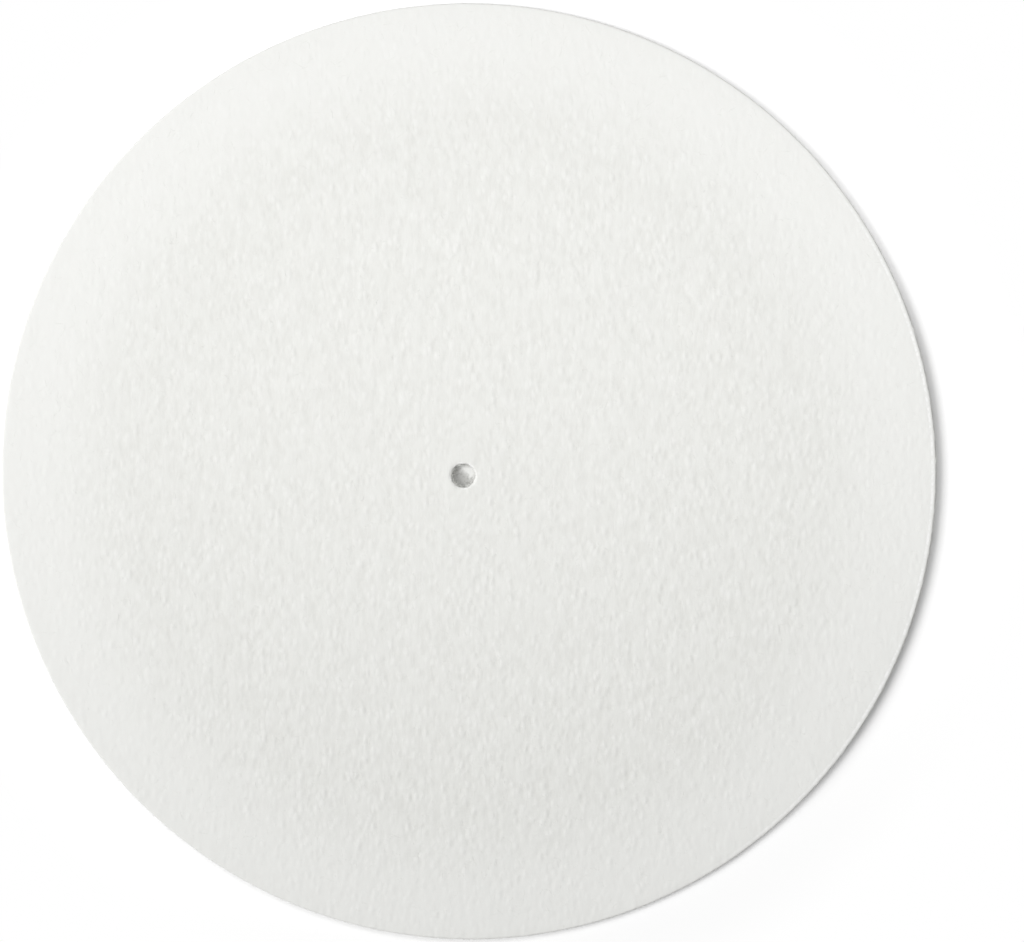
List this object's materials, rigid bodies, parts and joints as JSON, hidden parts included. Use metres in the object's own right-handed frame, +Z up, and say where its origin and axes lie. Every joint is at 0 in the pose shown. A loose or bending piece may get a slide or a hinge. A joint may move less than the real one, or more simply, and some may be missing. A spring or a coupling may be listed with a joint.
{
  "type": "turntable platter mat",
  "caption": "Thin round white felt mat with a central spindle hole and soft die-cut edges, laid on a record player's platter to cushion and grip the record.",
  "frame": {"origin": "centre of the spindle hole, in the plane of the underside", "axes": "+Z up along the spindle hole's axis, from the platter towards the record; the mat is round, so X and Y have no marked direction"},
  "size_m": [0.295, 0.295, 0.0025],
  "materials": {
    "felt": "matt pressed white felt with a fine random fibre relief and no sheen"
  },
  "bodies": {
    "root": {"felt_mat": "felt"}
  },
  "joints": []
}
